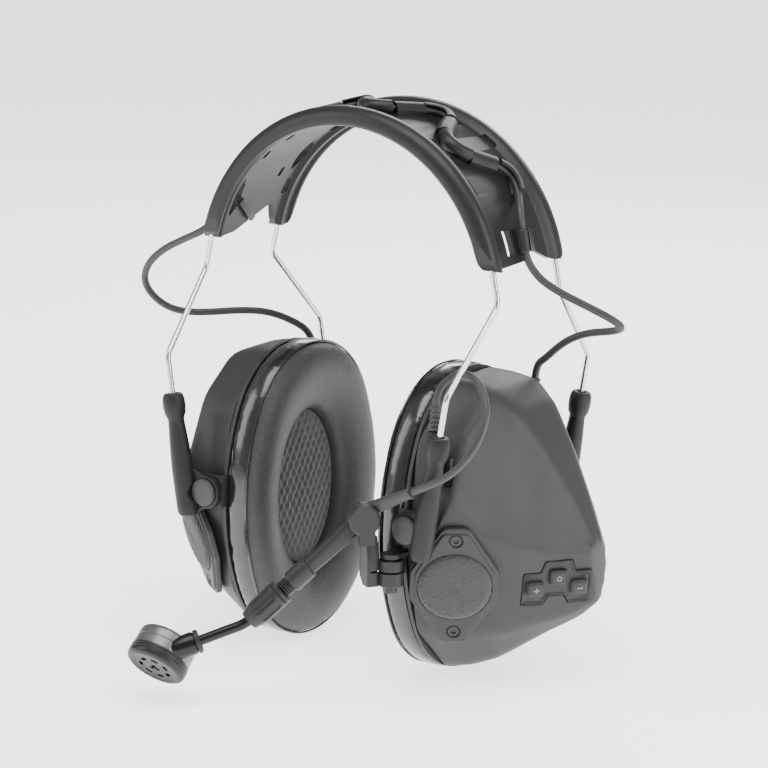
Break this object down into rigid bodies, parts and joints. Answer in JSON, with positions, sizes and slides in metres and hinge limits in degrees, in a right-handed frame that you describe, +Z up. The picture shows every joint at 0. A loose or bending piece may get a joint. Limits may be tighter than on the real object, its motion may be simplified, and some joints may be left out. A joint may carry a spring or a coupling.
{
  "type": "radio headset",
  "caption": "Two-way radio ear-muff headset: wire-sprung headband, two padded cups that slide and tilt, keys on one cup and a boom microphone.",
  "frame": {"origin": "midway between the two ear cushions at the height of their centres, where the wearer's head is", "axes": "+X towards the wearer's left, where the boom and the keys are; -Y forward, the way the wearer faces; +Z up through the headband"},
  "size_m": [0.1857, 0.1513, 0.1935],
  "materials": {
    "shell": "satin",
    "band": "satin",
    "arm": "satin",
    "button_disc": "satin",
    "cushion": "smooth vinyl",
    "liner": "quilted",
    "spring_steel": "bright drawn wire",
    "cable": "matte",
    "key_rubber": "matte",
    "foam": "open-cell foam",
    "screw": "blackened",
    "board": "solder mask",
    "speaker": "moulded",
    "battery": "plain sleeve",
    "capsule": "satin metallic",
    "boom_plastic": "satin",
    "grille": "satin"
  },
  "bodies": {
    "headband": {"headband": "band", "front_wire": "spring_steel", "rear_wire": "spring_steel", "band_cable": "cable", "cable_clip": "band", "left_link_cable": "cable", "right_link_cable": "cable"},
    "left_arms": {"left_front_arm": "arm", "left_rear_arm": "arm"},
    "right_arms": {"right_front_arm": "arm", "right_rear_arm": "arm"},
    "left_cup": {"left_cushion": "cushion", "left_base_plate": "shell", "left_pivot_pins": "button_disc", "left_foam_liner": "liner", "left_speaker": "speaker", "left_circuit_board": "board", "left_housing": "shell", "left_windscreen_frame": "shell", "left_windscreen_foam": "foam", "left_outer_microphone": "screw", "left_windscreen_screws": "screw", "left_cable_boot": "cable", "button_panel": "key_rubber", "mic_socket": "arm", "mic_plug": "arm", "mic_plug_boot": "cable", "boom_mount": "arm", "bracket_screw": "screw", "mic_cable": "cable", "mic_cable_sheath": "cable"},
    "right_cup": {"right_cushion": "cushion", "right_base_plate": "shell", "right_pivot_pins": "button_disc", "right_foam_liner": "liner", "right_speaker": "speaker", "right_circuit_board": "board", "right_housing": "shell", "right_windscreen_frame": "shell", "right_windscreen_foam": "foam", "right_outer_microphone": "screw", "right_windscreen_screws": "screw", "right_cable_boot": "cable", "right_batteries": "battery"},
    "plus_key": {"button_plus": "key_rubber"},
    "power_key": {"button_power": "key_rubber"},
    "minus_key": {"button_minus": "key_rubber"},
    "boom_bracket": {"boom_bracket": "boom_plastic"},
    "boom": {"boom_arm": "boom_plastic", "boom_pivot_pin": "screw", "boom_rod": "cable", "mic_barrel": "boom_plastic"},
    "boom_nut": {"boom_nut": "boom_plastic"},
    "microphone": {"mic_housing": "capsule", "mic_element": "screw", "mic_grille": "grille"}
  },
  "joints": [
    {"name": "left_height", "type": "slide", "parent": "headband", "child": "left_arms", "axis": [-0.167, 0, -0.986], "range_m": [-0.009, 0.015], "deforming": ["left_link_cable", "mic_cable"]},
    {"name": "right_height", "type": "slide", "parent": "headband", "child": "right_arms", "axis": [0.167, 0, -0.986], "range_m": [-0.009, 0.015], "deforming": ["right_link_cable"]},
    {"name": "left_tilt", "type": "hinge", "parent": "left_arms", "child": "left_cup", "pos_m": [0.0417, 0, 0.0049], "axis": [0, 1, 0], "range_deg": [-12, 12], "deforming": ["left_link_cable", "mic_cable"]},
    {"name": "right_tilt", "type": "hinge", "parent": "right_arms", "child": "right_cup", "pos_m": [-0.0417, 0, 0.0049], "axis": [0, 1, 0], "range_deg": [-12, 12], "deforming": ["right_link_cable"]},
    {"name": "boom_swing", "type": "hinge", "parent": "left_cup", "child": "boom_bracket", "pos_m": [0.037, -0.0452, -0.0098], "axis": [0, 0, 1], "range_deg": [-4, 40], "deforming": ["mic_cable_sheath"]},
    {"name": "boom_lift", "type": "hinge", "parent": "boom_bracket", "child": "boom", "pos_m": [0.03, -0.0516, 0.0089], "axis": [-0.676, 0.7369, 0], "range_deg": [-10, 60]},
    {"name": "boom_nut_turn", "type": "hinge", "parent": "boom", "child": "boom_nut", "pos_m": [0.00823, -0.07157, -0.01807], "axis": [-0.5442, -0.4992, -0.6743], "range_deg": [-180, 180]},
    {"name": "microphone_turn", "type": "hinge", "parent": "boom", "child": "microphone", "pos_m": [-0.01127, -0.08945, -0.0324], "axis": [-0.693, -0.6356, -0.3403], "range_deg": [-90, 90]},
    {"name": "plus_key_press", "type": "slide", "parent": "left_cup", "child": "plus_key", "axis": [-0.7493, 0.6287, 0.2079], "range_m": [0, 0.0008], "stiffness_N_per_m": 400},
    {"name": "power_key_press", "type": "slide", "parent": "left_cup", "child": "power_key", "axis": [-0.7493, 0.6287, 0.2079], "range_m": [0, 0.0008], "stiffness_N_per_m": 400},
    {"name": "minus_key_press", "type": "slide", "parent": "left_cup", "child": "minus_key", "axis": [-0.7493, 0.6287, 0.2079], "range_m": [0, 0.0008], "stiffness_N_per_m": 400}
  ]
}
